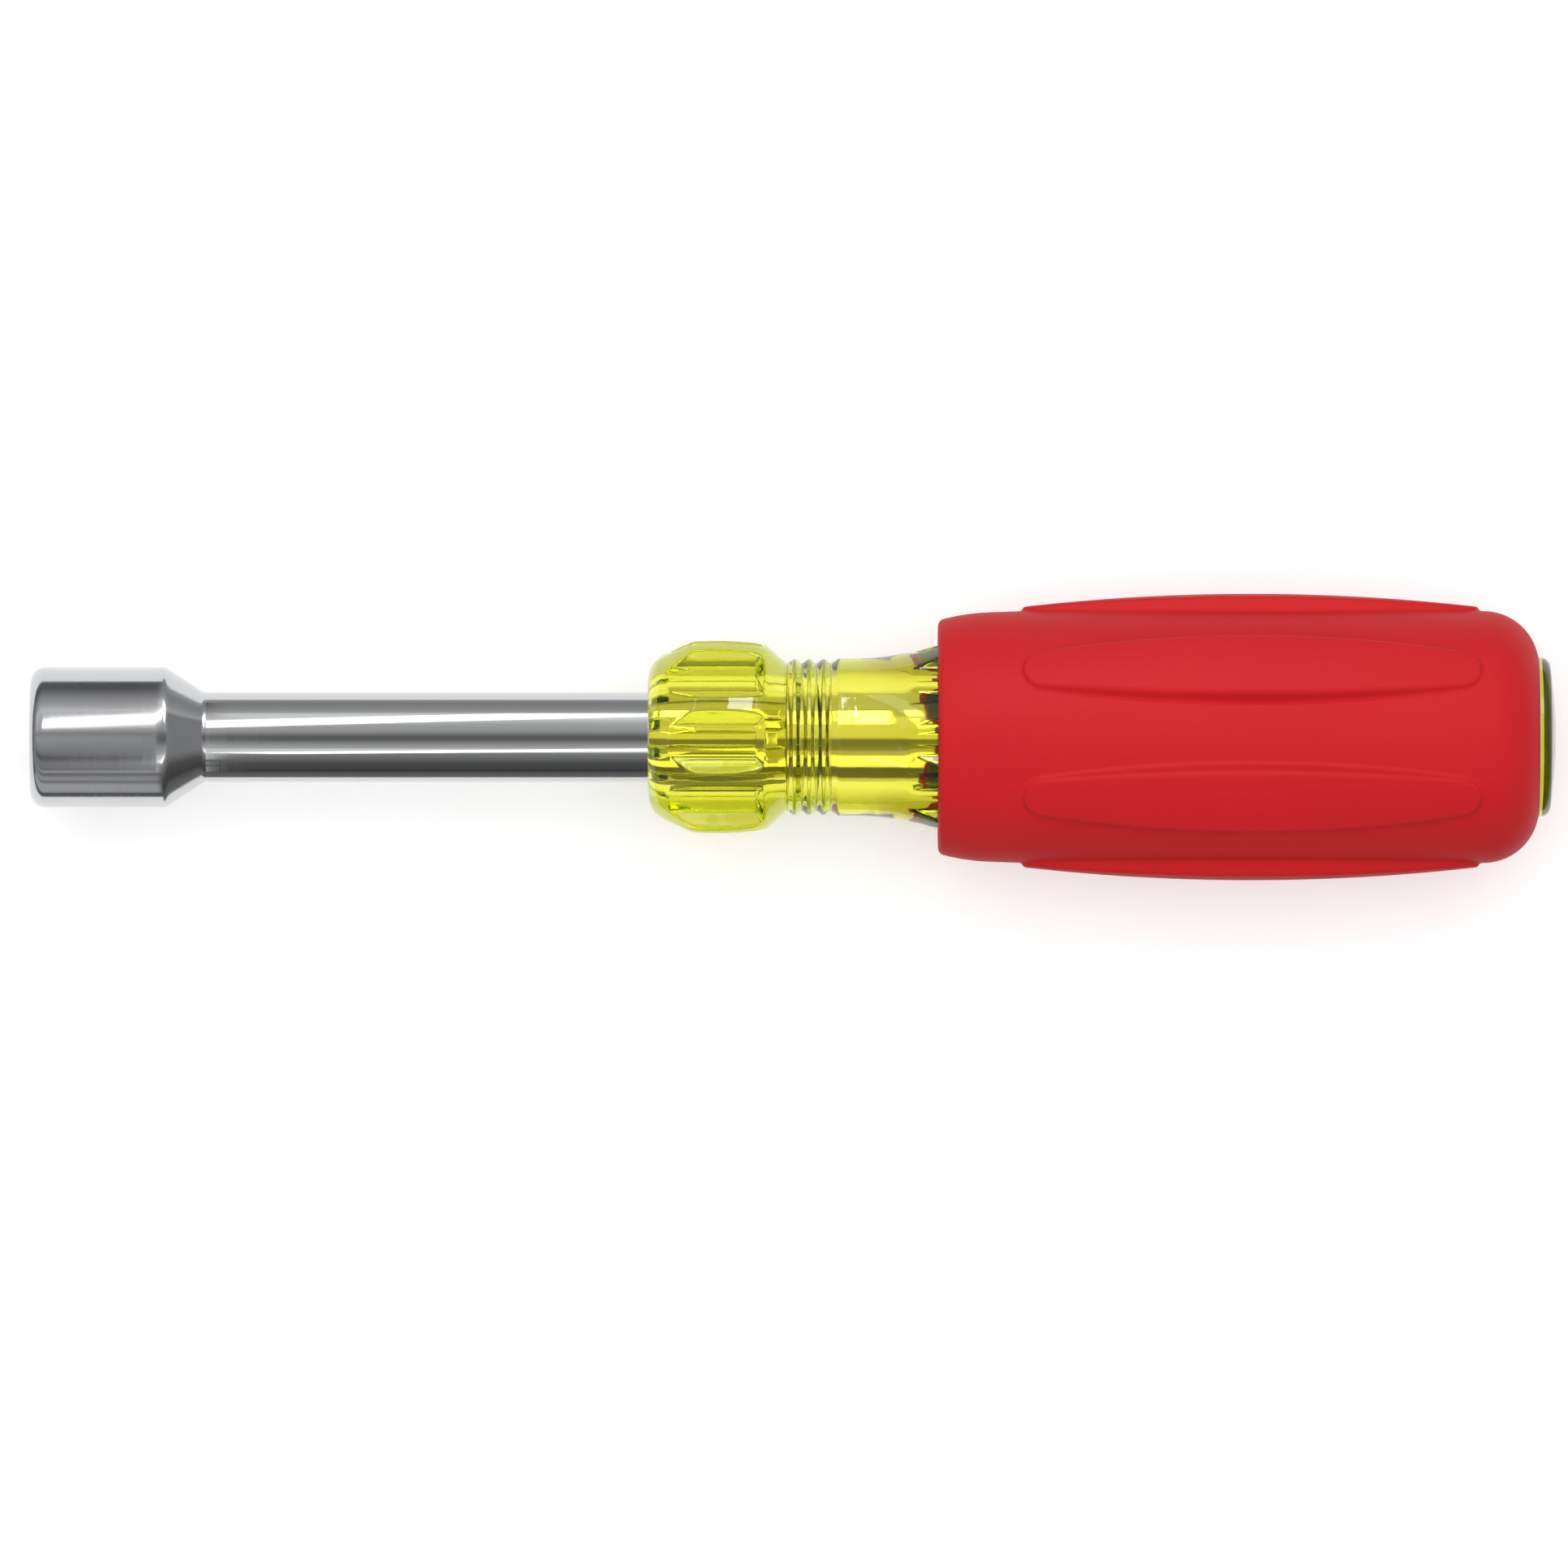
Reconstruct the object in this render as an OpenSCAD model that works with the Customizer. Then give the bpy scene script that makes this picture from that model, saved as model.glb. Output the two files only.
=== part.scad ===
// A hollow-shaft nut driver for 1/2 in hexagon nuts, with a clear fluted handle core and a
// cushion grip that slips over it. It is made of four separate pieces:
//   hex_socket    chromed steel socket, pressed and brazed on the shaft's turned-down end
//   hollow_shaft  chromed steel tube, which long studs pass into, with wings that lock it
//   handle_core   clear fluted bar, turned to a knob, three rings, a neck and a rear stub
//   cushion_grip  soft sleeve, keyed in the bar's flutes, with six raised pads
// The tool's axis is X. The origin is the centre of the socket's mouth, the handle lies
// towards +X, and +Z is up. Lengths are in millimetres and angles in degrees.

/* [Socket] */
// Hexagon of the nut, across its flats
hex_flats = 12.7; // [10:0.1:13.2]
// Clearance between the nut and the hexagon, across the flats
hex_clearance = 0.1; // [0.05:0.05:0.3]
// Depth of the hexagon from the mouth
hex_depth = 11.5; // [8:0.5:13]
// Chamfer that leads the nut in
mouth_chamfer = 0.35; // [0.1:0.05:0.5]
// Outside diameter of the socket
socket_dia = 17.34; // [17:0.02:20]
// Length of the straight body, with its rounded nose
socket_body = 16.73; // [15.5:0.01:20]
// Rounding of the nose
nose_round = 1.75; // [0.8:0.05:2]
// Length of the cone behind the body
cone_len = 4.7; // [3:0.1:8]

/* [Shaft] */
// Outside diameter of the tube
shaft_dia = 11.11; // [10.8:0.01:12]
// Bore of the tube, which a 5/16 in stud passes into
bore_dia = 8.4; // [7:0.1:8.8]
// Length from the socket's mouth to the handle
blade_len = 76.2; // [50:0.1:200]
// Length of the tube that the handle holds
held_len = 63.5; // [50:0.5:75]
// Diameter of the turned-down end that the socket is pressed on
spigot_dia = 9.9; // [9.5:0.1:10.2]
// Length of the turned-down end
spigot_len = 7; // [4:0.5:7.5]
// Edge break on both sides of the socket joint
joint_break = 0.12; // [0.05:0.01:0.2]
// Number of wings that lock the tube in the handle
wing_count = 4; // [2:1:6]
// Length of a wing along the tube
wing_len = 12; // [6:0.5:18]
// Height of a wing above the tube
wing_rise = 1.4; // [0.6:0.1:2]
// Thickness of a wing
wing_wide = 1.6; // [0.8:0.1:2.4]
// Distance from the wings to the held end of the tube
wing_back = 14; // [6:0.5:20]

/* [Handle core] */
// Length of the handle with its domed end
handle_len = 112.1; // [108:0.1:125]
// Diameter of the fluted bar over its lands
bar_dia = 24.7; // [24:0.1:26]
// Number of flutes
flute_count = 8; // [5:1:8]
// Distance from the axis to the flat floor of a flute
flute_floor = 10.45; // [10.2:0.05:11]
// Width of the flat floor
floor_wide = 3.8; // [3:0.1:4.4]
// Slope of a flute's side walls from its middle plane
wall_slope = 56; // [50:1:62]
// Turn of the flutes about the axis
flute_turn = -3; // [-10:0.5:10]
// Distance from the knob's face to where the floor of its flutes starts to run out
flute_run = 13.4; // [11:0.1:14]
// Diameter of the knob's flat face
knob_face = 14.2; // [12.5:0.1:15]
// Rounding of the knob's front edge
knob_round = 3.4; // [2.5:0.1:3.6]
// Rounding between the knob's front cone and its crown
knob_shoulder = 2.5; // [1:0.1:4]
// Long curve of the knob's crown, as a radius
knob_crown = 34; // [25:1:80]
// Distance from the knob's face to its largest diameter
knob_top = 8.4; // [7.5:0.1:10]
// Distance from the knob's face to the end of its crown
knob_back = 13.1; // [12:0.1:15]
// Rounding between the crown and the knob's rear cone
knob_back_round = 3.3; // [1:0.1:4]
// Number of rings
ring_count = 3; // [1:1:4]
// Spacing of the rings
ring_pitch = 1.8; // [1.2:0.1:2.2]
// Height of a ring above its grooves
ring_rise = 0.55; // [0.3:0.05:0.6]
// Rounding of a ring's crest
ring_crest = 0.5; // [0.3:0.05:0.55]
// Diameter at the bottom of the grooves
groove_dia = 18.2; // [17.5:0.1:18.6]
// Diameter of the neck
neck_dia = 19.44; // [19.1:0.02:20.2]
// Length of the straight neck
neck_len = 2.2; // [1:0.1:3]
// Hollow sweep from the neck up to the bar, as a radius
flare_round = 28; // [15:1:32]
// Diameter of the rear stub
stub_dia = 19.64; // [18.5:0.02:20.4]
// Rounding of the stub's edge
stub_round = 1.2; // [0.5:0.1:1.6]
// Rise of the domed end
dome_rise = 0.68; // [0.3:0.02:1.5]

/* [Cushion grip] */
// Distance from the knob's face to the grip
grip_start = 35.8; // [35:0.1:37.5]
// Largest diameter between the pads
grip_dia = 32.06; // [31:0.02:34]
// Distance from the grip's front to its largest diameter
barrel_top = 39; // [30:0.5:45]
// Long barrel curve of the grip, as a radius
grip_barrel = 850; // [600:10:2000]
// Length of the sweep that draws the front in
sweep_len = 6.2; // [4:0.1:9]
// Sweep that draws the front in, as a radius
front_sweep = 26; // [20:1:60]
// Rounding of the front edge
front_round = 0.95; // [0.4:0.05:1.2]
// Rounding of the rear corner
rear_round = 6.8; // [5:0.1:7]
// Thickness of the rear wall, behind the bar's shoulder
rear_wall = 5.2; // [3:0.1:6]
// Length of straight stub that shows behind the grip
rear_reveal = 0.22; // [0.1:0.02:1.5]
// Turn of the pads about the axis
pad_turn = 1.8; // [-10:0.2:10]
// Number of pads
pad_count = 6; // [3:1:6]
// Length of a pad
pad_len = 56.2; // [40:0.2:57]
// Distance from the grip's front to the middle of the pads
pad_middle = 38.6; // [36:0.1:41]
// Width of a pad at its middle
pad_wide = 8.7; // [6:0.1:9.6]
// Long curve of a pad's sides, as a radius
pad_side = 185; // [150:1:400]
// Radius of a pad's round ends
pad_end = 2.55; // [1.5:0.05:2.6]
// Height of a pad's crown above the grip
pad_rise = 1.66; // [1.5:0.02:2.2]
// Long curve of a pad's crown, as a radius
pad_crown = 246; // [230:1:400]

/* [Hidden] */
$fn = 96;
// Facets of the two long arcs at a pad's sides
side_facets = 720;
// Points along a short arc and along a long one
arc_steps = 10;
long_steps = 20;
// Cuts run past the faces that they open
overrun = 1;

// Socket and shaft
hex_open = hex_flats + hex_clearance;
socket_r = socket_dia / 2;
shaft_r = shaft_dia / 2;
bore_r = bore_dia / 2;
spigot_r = spigot_dia / 2;
socket_len = socket_body + cone_len;
spigot_x = socket_len - spigot_len;
shaft_end_x = blade_len + held_len;
wing_x = shaft_end_x - wing_back - wing_len;
// Point angle of the drill that made the blind hole
drill_point = 118;

// Places along the tool
face_x = blade_len;
rear_x = blade_len + handle_len;
grip_x = face_x + grip_start;
stub_edge_x = rear_x - dome_rise - stub_round;
grip_end_x = stub_edge_x - rear_reveal;
shoulder_x = grip_end_x - rear_wall;

// Knob: its front cone rises at this angle and its rear cone falls at this one
front_slope = 30;
back_slope = 42;
bar_r = bar_dia / 2;
neck_r = neck_dia / 2;
groove_r = groove_dia / 2;
stub_r = stub_dia / 2;
// Slope at which the flutes' floor runs out, and the rise of their walls
flute_run_slope = 45;
flute_wall = tan(wall_slope);

// Circles of the knob's outline, each as its middle [x, r]
nose_mid = [face_x + knob_round, knob_face / 2];
nose_end = on_circle(nose_mid, knob_round, 90 + front_slope);
crown_mid = [face_x + knob_top, bar_r - knob_crown];
shoulder_mid = tangent_mid(nose_end, front_slope, knob_shoulder, crown_mid, knob_crown);
shoulder_angle = angle_of(shoulder_mid - crown_mid);
crown_end_angle = 90 - asin((knob_back - knob_top) / knob_crown);
back_mid = on_circle(crown_mid, knob_crown - knob_back_round, crown_end_angle);
back_end = on_circle(back_mid, knob_back_round, 90 - back_slope);

// Rings, neck and flare
groove_x = back_end[0] + (back_end[1] - groove_r) / tan(back_slope);
last_groove_x = groove_x + ring_count * ring_pitch;
ring_mid = [ring_pitch / 2, ring_rise - ring_crest];
ring_flank = angle_of(ring_mid) + asin(ring_crest / norm(ring_mid));
neck_x = last_groove_x + ring_pitch / 2;
flare_x = neck_x + neck_len;
flare_angle = acos(1 - (bar_r - neck_r) / flare_round);

// Domed end
dome_edge_r = stub_r - stub_round;
dome_round = (dome_edge_r * dome_edge_r + dome_rise * dome_rise) / (2 * dome_rise);
dome_angle = asin(dome_edge_r / dome_round);

// Circles of the grip's outline, each as its middle [x, r]
grip_r = grip_dia / 2;
barrel_mid = [grip_x + barrel_top, grip_r - grip_barrel];
sweep_angle = 90 + asin((barrel_top - sweep_len) / grip_barrel);
sweep_mid = on_circle(barrel_mid, grip_barrel - front_sweep, sweep_angle);
front_mid = circle_inside(sweep_mid, front_sweep, grip_x + front_round, front_round);
rear_mid = circle_inside(barrel_mid, grip_barrel, grip_end_x - rear_round, rear_round);

// Pads
pad_x = grip_x + pad_middle;
pad_top_r = grip_r + pad_rise;
pad_crown_mid = [pad_x, pad_top_r - pad_crown];
pad_end_x = pad_len / 2 - pad_end;
pad_crown_angle = asin(pad_len / 2 / pad_crown);

// Point on a circle, at an angle from +X towards the outside
function on_circle(mid, radius, angle) = mid + radius * [cos(angle), sin(angle)];

// Angle of a direction
function angle_of(v) = atan2(v[1], v[0]);

// Points of an arc
function arc(mid, radius, from, to, steps) =
    [for (i = [0 : steps]) on_circle(mid, radius, from + (to - from) * i / steps)];

// Middle of a circle that touches the line through point at slope, and an outer circle inside
function tangent_mid(point, slope, radius, outer_mid, outer_radius) =
    let (along = [cos(slope), sin(slope)])
    let (start = point + radius * [sin(slope), -cos(slope)] - outer_mid)
    let (back = start * along)
    let (reach = outer_radius - radius)
    outer_mid + start + (sqrt(back * back - start * start + reach * reach) - back) * along;

// Middle of a circle at a given x that touches an outer circle on its inside
function circle_inside(outer_mid, outer_radius, x, radius) =
    let (reach = outer_radius - radius)
    [x, outer_mid[1] + sqrt(reach * reach - pow(x - outer_mid[0], 2))];

// Turns an outline of [x, r] points about the tool's axis
module turned(outline) {
    rotate([0, 90, 0])
        rotate_extrude()
            polygon([for (p = outline) [p[1], p[0]]]);
}

// Round bar along the tool's axis
module bar(radius, from, to) {
    translate([from, 0, 0])
        rotate([0, 90, 0])
            cylinder(r = radius, h = to - from);
}

// Copies its children evenly about the tool's axis, the first one turned from +Z
module around(count, turn) {
    for (i = [0 : count - 1])
        rotate([-turn - i * 360 / count, 0, 0])
            children();
}

// Socket with its hexagon, its throat and the seat for the shaft's turned-down end
module hex_socket() {
    nose = [nose_round, socket_r - nose_round];
    color("silver")
    difference() {
        turned(concat(
            [[0, 0]],
            arc(nose, nose_round, 180, 90, arc_steps),
            [
                [socket_body, socket_r],
                [socket_len - joint_break, shaft_r],
                [socket_len, shaft_r - joint_break],
                [socket_len, 0]
            ]
        ));
        translate([-overrun, 0, 0])
            rotate([0, 90, 0])
                cylinder(d = hex_open / cos(30), h = hex_depth + overrun, $fn = 6);
        turned([
            [-overrun, 0],
            [-overrun, hex_open / 2 + mouth_chamfer + overrun],
            [mouth_chamfer, hex_open / 2],
            [mouth_chamfer, 0]
        ]);
        bar(bore_r, 0, socket_len);
        bar(spigot_r, spigot_x, socket_len + overrun);
    }
}

// Outside of the tube, which also cuts its seat in the handle
module shaft_outside() {
    turned([
        [spigot_x, 0],
        [spigot_x, spigot_r],
        [socket_len, spigot_r],
        [socket_len, shaft_r - joint_break],
        [socket_len + joint_break, shaft_r],
        [shaft_end_x, shaft_r],
        [shaft_end_x, 0]
    ]);
    around(wing_count, 0)
        translate([wing_x, -wing_wide / 2, 0])
            cube([wing_len, wing_wide, shaft_r + wing_rise]);
}

// Tube with its turned-down front end and its wings
module hollow_shaft() {
    color("silver")
    difference() {
        shaft_outside();
        bar(bore_r, spigot_x - overrun, shaft_end_x + overrun);
    }
}

// Flutes from one place to another, where their floor starts to run out at a slope
module flutes(from, to) {
    depth = bar_r - flute_floor + overrun;
    half = floor_wide / 2;
    side = half + depth * flute_wall;
    run = depth / tan(flute_run_slope);
    past = overrun / tan(flute_run_slope);
    around(flute_count, flute_turn)
        intersection() {
            translate([from, 0, 0])
                rotate([90, 0, 90])
                    linear_extrude(to - from + run)
                        polygon([
                            [-half, flute_floor],
                            [half, flute_floor],
                            [side, flute_floor + depth],
                            [-side, flute_floor + depth]
                        ]);
            rotate([90, 0, 0])
                linear_extrude(2 * side + 2 * overrun, center = true)
                    polygon([
                        [from - overrun, flute_floor - overrun],
                        [to - past, flute_floor - overrun],
                        [to + run + past, flute_floor + depth + overrun],
                        [from - overrun, flute_floor + depth + overrun]
                    ]);
        }
}

// Outside of the handle core, which also cuts the inside of the grip
module core_outside() {
    difference() {
        turned(concat(
            [[face_x, 0]],
            arc(nose_mid, knob_round, 180, 90 + front_slope, arc_steps),
            arc(shoulder_mid, knob_shoulder, 90 + front_slope, shoulder_angle, arc_steps),
            arc(crown_mid, knob_crown, shoulder_angle, crown_end_angle, arc_steps),
            arc(back_mid, knob_back_round, crown_end_angle, 90 - back_slope, arc_steps),
            [for (i = [0 : ring_count - 1]) each ring(groove_x + i * ring_pitch)],
            [[last_groove_x, groove_r], [neck_x, neck_r]],
            arc([flare_x, neck_r + flare_round], flare_round, -90, flare_angle - 90, arc_steps),
            [[shoulder_x, bar_r], [shoulder_x, stub_r]],
            arc([stub_edge_x, dome_edge_r], stub_round, 90, 0, arc_steps),
            arc([rear_x - dome_round, 0], dome_round, dome_angle, 0, arc_steps)
        ));
        flutes(face_x - overrun, face_x + flute_run);
        flutes(neck_x, shoulder_x + overrun);
    }
}

// Outline of one ring: its groove, a straight flank and its rounded crest
function ring(x) = concat(
    [[x, groove_r]],
    arc([x, groove_r] + ring_mid, ring_crest, 90 + ring_flank, 90 - ring_flank, arc_steps)
);

// Clear core: the turned, fluted bar with its drilled seat for the tube
module handle_core() {
    color("yellowgreen", 0.7)
    difference() {
        core_outside();
        shaft_outside();
        turned([
            [shaft_end_x - overrun, 0],
            [shaft_end_x - overrun, shaft_r],
            [shaft_end_x, shaft_r],
            [shaft_end_x + shaft_r / tan(drill_point / 2), 0]
        ]);
    }
}

// One raised pad, crowned along its length
module pad() {
    drop = pad_side - pad_wide / 2;
    intersection() {
        turned(concat(
            [[pad_x - pad_len / 2 - overrun, 0]],
            arc(pad_crown_mid, pad_crown, 90 + pad_crown_angle * (1 + overrun / pad_len),
                90 - pad_crown_angle * (1 + overrun / pad_len), long_steps),
            [[pad_x + pad_len / 2 + overrun, 0]]
        ));
        translate([pad_x, 0, bar_r])
            linear_extrude(pad_top_r - bar_r + overrun) {
                intersection() {
                    translate([0, -drop])
                        circle(pad_side, $fn = side_facets);
                    translate([0, drop])
                        circle(pad_side, $fn = side_facets);
                    square([2 * pad_end_x, pad_wide], center = true);
                }
                for (end = [-1, 1])
                    translate([end * pad_end_x, 0])
                        circle(pad_end);
            }
    }
}

// Cushion sleeve with its pads, open at the front and closed on the stub behind
module cushion_grip() {
    front_angle = angle_of(front_mid - sweep_mid);
    rear_angle = angle_of(rear_mid - barrel_mid);
    color("crimson")
    union() {
        difference() {
            turned(concat(
                [[grip_x, 0]],
                arc(front_mid, front_round, 180, front_angle, arc_steps),
                arc(sweep_mid, front_sweep, front_angle, sweep_angle, arc_steps),
                arc(barrel_mid, grip_barrel, sweep_angle, rear_angle, long_steps),
                arc(rear_mid, rear_round, rear_angle, 0, arc_steps),
                [[grip_end_x, 0]]
            ));
            core_outside();
        }
        around(pad_count, pad_turn + 180 / pad_count)
            pad();
    }
}

hex_socket();
hollow_shaft();
handle_core();
cushion_grip();
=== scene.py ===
# %% [markdown]
# # A nut driver with a hollow shaft
# A nut driver turns hexagon nuts as a screwdriver turns screws. This one has four pieces: a
# chromed socket, a chromed tube, a clear handle core turned from a fluted bar, and a soft red
# grip pushed over the core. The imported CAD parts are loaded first. They are the frame: every
# piece made below stands where its CAD part stands, at the same size.

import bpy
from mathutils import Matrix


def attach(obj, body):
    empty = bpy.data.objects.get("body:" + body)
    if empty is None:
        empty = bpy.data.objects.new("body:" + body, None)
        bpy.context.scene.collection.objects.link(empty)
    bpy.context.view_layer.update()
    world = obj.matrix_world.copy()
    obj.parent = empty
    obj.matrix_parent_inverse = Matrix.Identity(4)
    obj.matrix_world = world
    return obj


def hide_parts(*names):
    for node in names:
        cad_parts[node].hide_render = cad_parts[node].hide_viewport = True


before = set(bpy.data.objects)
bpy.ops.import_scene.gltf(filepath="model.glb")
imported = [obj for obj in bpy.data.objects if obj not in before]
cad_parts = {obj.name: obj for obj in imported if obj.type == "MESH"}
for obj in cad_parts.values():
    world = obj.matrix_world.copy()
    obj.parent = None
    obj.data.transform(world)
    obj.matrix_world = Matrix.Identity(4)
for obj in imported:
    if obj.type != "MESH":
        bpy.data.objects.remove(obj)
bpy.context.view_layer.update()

# %% [markdown]
# ## Measures and small helpers
# All outlines are written in millimetres, as [x, r] points: x runs along the tool from the
# mouth of the socket, and r is the distance from the tool's axis. A lathe part is one such
# outline, spun about the axis. Most outlines here are chains of arcs, because that is how a
# turned part is cut, so a helper gives the points of an arc.

# %% Helpers for outlines
import math

import bmesh
import bpy
from mathutils import Matrix, Vector

MILLIMETRE = 0.001
CLOSE = 0.01  # millimetres, within which two places count as the same
MERGE = 0.00001  # millimetres, within which two points become one
AXIS = (1.0, 0.0, 0.0)
ORIGIN = (0.0, 0.0, 0.0)


def on_circle(mid, radius, degrees):
    """Point of a circle, at an angle from the direction of x towards that of r."""
    turn = math.radians(degrees)
    return (mid[0] + radius * math.cos(turn), mid[1] + radius * math.sin(turn))


def arc(mid, radius, start, stop, steps):
    """Points along an arc, both ends included."""
    return [on_circle(mid, radius, start + (stop - start) * i / steps) for i in range(steps + 1)]


def straight(start, stop, steps):
    """Points along a straight line, without its first one."""
    return [
        tuple(a + (b - a) * i / steps for a, b in zip(start, stop)) for i in range(1, steps + 1)
    ]


def direction(start, stop):
    """Angle of the line from start to stop, counted as on_circle counts it."""
    return math.degrees(math.atan2(stop[1] - start[1], stop[0] - start[0]))


def turned(outline, segments):
    """Spins a closed outline about the tool's axis; the first copy lies towards +Z."""
    bm = bmesh.new()
    points = [bm.verts.new((x, 0.0, r)) for x, r in outline]
    edges = [bm.edges.new(pair) for pair in zip(points, points[1:] + points[:1])]
    bmesh.ops.spin(
        bm, geom=points + edges, cent=ORIGIN, axis=AXIS, dvec=ORIGIN,
        angle=math.tau, steps=segments, use_merge=True,
    )
    bmesh.ops.remove_doubles(bm, verts=bm.verts, dist=MERGE)
    bmesh.ops.recalc_face_normals(bm, faces=bm.faces)
    # the recalculation judges by one outer corner, and a volume below zero shows that it erred
    if bm.calc_volume(signed=True) < 0:
        bmesh.ops.reverse_faces(bm, faces=bm.faces)
    return bm


def around_axis(vert):
    """Distance from the axis, and the angle from +Z towards +Y in degrees."""
    return math.hypot(vert.co.y, vert.co.z), math.degrees(math.atan2(vert.co.y, vert.co.z))


def place(vert, x, radius, degrees):
    """Moves a point to x along the tool, at a distance and an angle as around_axis gives them."""
    turn = math.radians(degrees)
    vert.co = (x, radius * math.sin(turn), radius * math.cos(turn))


# %% [markdown]
# ## From a bmesh to a piece of the part
# Each piece ends the same way. Its mesh is scaled from millimetres to metres, its faces are
# shaded smooth but for the corners that are sharp on the real piece, it gets its material, and
# the CAD part that it stands for is hidden. The object itself stays at the
# origin, so that patterns on Object coordinates keep their real size.

# %% Helper that finishes a piece
def finished(bm, name, node, material, sharp_from=30.0):
    """Makes a piece; edges where faces meet at more than sharp_from degrees stay sharp."""
    limit = math.radians(sharp_from)
    for face in bm.faces:
        face.smooth = True
    for edge in bm.edges:
        edge.smooth = len(edge.link_faces) == 2 and edge.calc_face_angle(0.0) < limit
    bmesh.ops.scale(bm, vec=(MILLIMETRE,) * 3, verts=bm.verts)
    mesh = bpy.data.meshes.new(name)
    bm.to_mesh(mesh)
    bm.free()
    piece = bpy.data.objects.new(name, mesh)
    bpy.context.scene.collection.objects.link(piece)
    mesh.materials.append(material)
    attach(piece, "root")
    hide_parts(node)
    triangles = sum(len(face.vertices) - 2 for face in mesh.polygons)
    print(name, "has", triangles, "triangles")
    return piece


# %% [markdown]
# ## Helpers for materials
# A material is a small graph of nodes. One helper adds a node, sets it and links it, and one
# turns the sRGB colours that a screen shows into the linear ones that the renderer counts in.
# A third gives the scale of a pattern from the real distance between its marks.

# %% Helpers for materials
def linear(hex_colour):
    """Turns an sRGB colour such as D0292B into a linear RGBA value."""
    channels = [int(hex_colour[i : i + 2], 16) / 255 for i in (0, 2, 4)]
    light = [c / 12.92 if c <= 0.04045 else ((c + 0.055) / 1.055) ** 2.4 for c in channels]
    return (*light, 1.0)


def marks_every(millimetres):
    """Scale of a pattern whose marks are this far apart."""
    return 1.0 / (millimetres * MILLIMETRE)


def add_node(tree, kind, links=None, settings=None, **values):
    """Adds a node, with its settings, the values of its sockets and what feeds them."""
    node = tree.nodes.new(kind)
    for key, value in (settings or {}).items():
        setattr(node, key, value)
    for key, value in values.items():
        node.inputs[key.replace("_", " ")].default_value = value
    for key, source in (links or {}).items():
        tree.links.new(source, node.inputs[key])
    return node


def new_material(name):
    material = bpy.data.materials.new(name)
    material.use_nodes = True
    material.node_tree.nodes.clear()
    return material, material.node_tree


# %% [markdown]
# ## Bright chrome
# Socket and tube are plated with nickel and chrome over polished steel. Chrome mirrors its
# surroundings, so most of its look comes from the lights. What the material itself adds is a
# slightly blue grey, a polish that is never quite even, and the faint rings that a polishing
# belt leaves round a turned piece. The rings are about 0.15 mm apart and less than a
# thousandth of a millimetre deep. They are too fine to model, so a noise that is squeezed
# along the axis draws them, and needs no image.

# %% Chrome material
MICROMETRE = 0.000001


def chrome(name, colour, rough_low, rough_high, ring_depth):
    """Chrome between two roughnesses; the depth of its rings is in metres."""
    material, tree = new_material(name)
    place_node = add_node(tree, "ShaderNodeTexCoord")
    # belt marks: noise squeezed along the tool's axis, with 6.6 marks to the millimetre
    across, around = marks_every(1 / 6.6), marks_every(16.67)
    marks_at = add_node(
        tree, "ShaderNodeMapping", {"Vector": place_node.outputs["Object"]},
        Scale=(across, around, around),
    )
    marks = add_node(
        tree, "ShaderNodeTexNoise", {"Vector": marks_at.outputs["Vector"]}, Scale=1.0, Detail=2.0
    )
    # cloudy polish, in patches of about 8 mm
    cloud = add_node(
        tree, "ShaderNodeTexNoise", {"Vector": place_node.outputs["Object"]},
        Scale=marks_every(8.33), Detail=3.0,
    )
    both = add_node(
        tree, "ShaderNodeMath", {0: marks.outputs["Fac"], 1: cloud.outputs["Fac"]},
        {"operation": "MULTIPLY"},
    )
    # the product of the two noises runs from about 0.1 to 0.45
    rough = add_node(
        tree, "ShaderNodeMapRange", {"Value": both.outputs[0]},
        From_Min=0.1, From_Max=0.45, To_Min=rough_low, To_Max=rough_high,
    )
    bump = add_node(
        tree, "ShaderNodeBump", {"Height": marks.outputs["Fac"]}, Strength=1.0, Distance=ring_depth
    )
    shader = add_node(
        tree, "ShaderNodeBsdfPrincipled",
        {"Roughness": rough.outputs["Result"], "Normal": bump.outputs["Normal"]},
        Base_Color=linear(colour), Metallic=1.0,
    )
    add_node(tree, "ShaderNodeOutputMaterial", {"Surface": shader.outputs["BSDF"]})
    return material


# the turned socket keeps deeper marks, so its highlights are softer and wider
socket_chrome = chrome("bright_chrome_on_turned_socket", "C2C3C5", 0.10, 0.18, 0.6 * MICROMETRE)
# the drawn tube is smoother and mirrors in sharper lines
tube_chrome = chrome("bright_chrome_on_drawn_tube", "C4C5C6", 0.05, 0.11, 0.3 * MICROMETRE)
print("chrome materials:", socket_chrome.name, tube_chrome.name)

# %% [markdown]
# ## Clear yellow-green acetate
# The core is cellulose acetate, the usual plastic of clear tool handles. It is dyed through, so
# it is pale where it is thin and deep yellow-green where light travels far in it. A coloured
# surface alone would be one shade all over, like stained glass. So the depth of colour comes
# from absorption in the volume, and the surface adds only a pale yellow tint. The turned and
# fluted surface is polished in solvent vapour, which melts the tool marks to a faint waviness.
# Its waves are about 3 mm wide and 0.02 mm high.

# %% Acetate material
DYE_HALF = 4.5  # millimetres of acetate in which half of the blue light is lost


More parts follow.
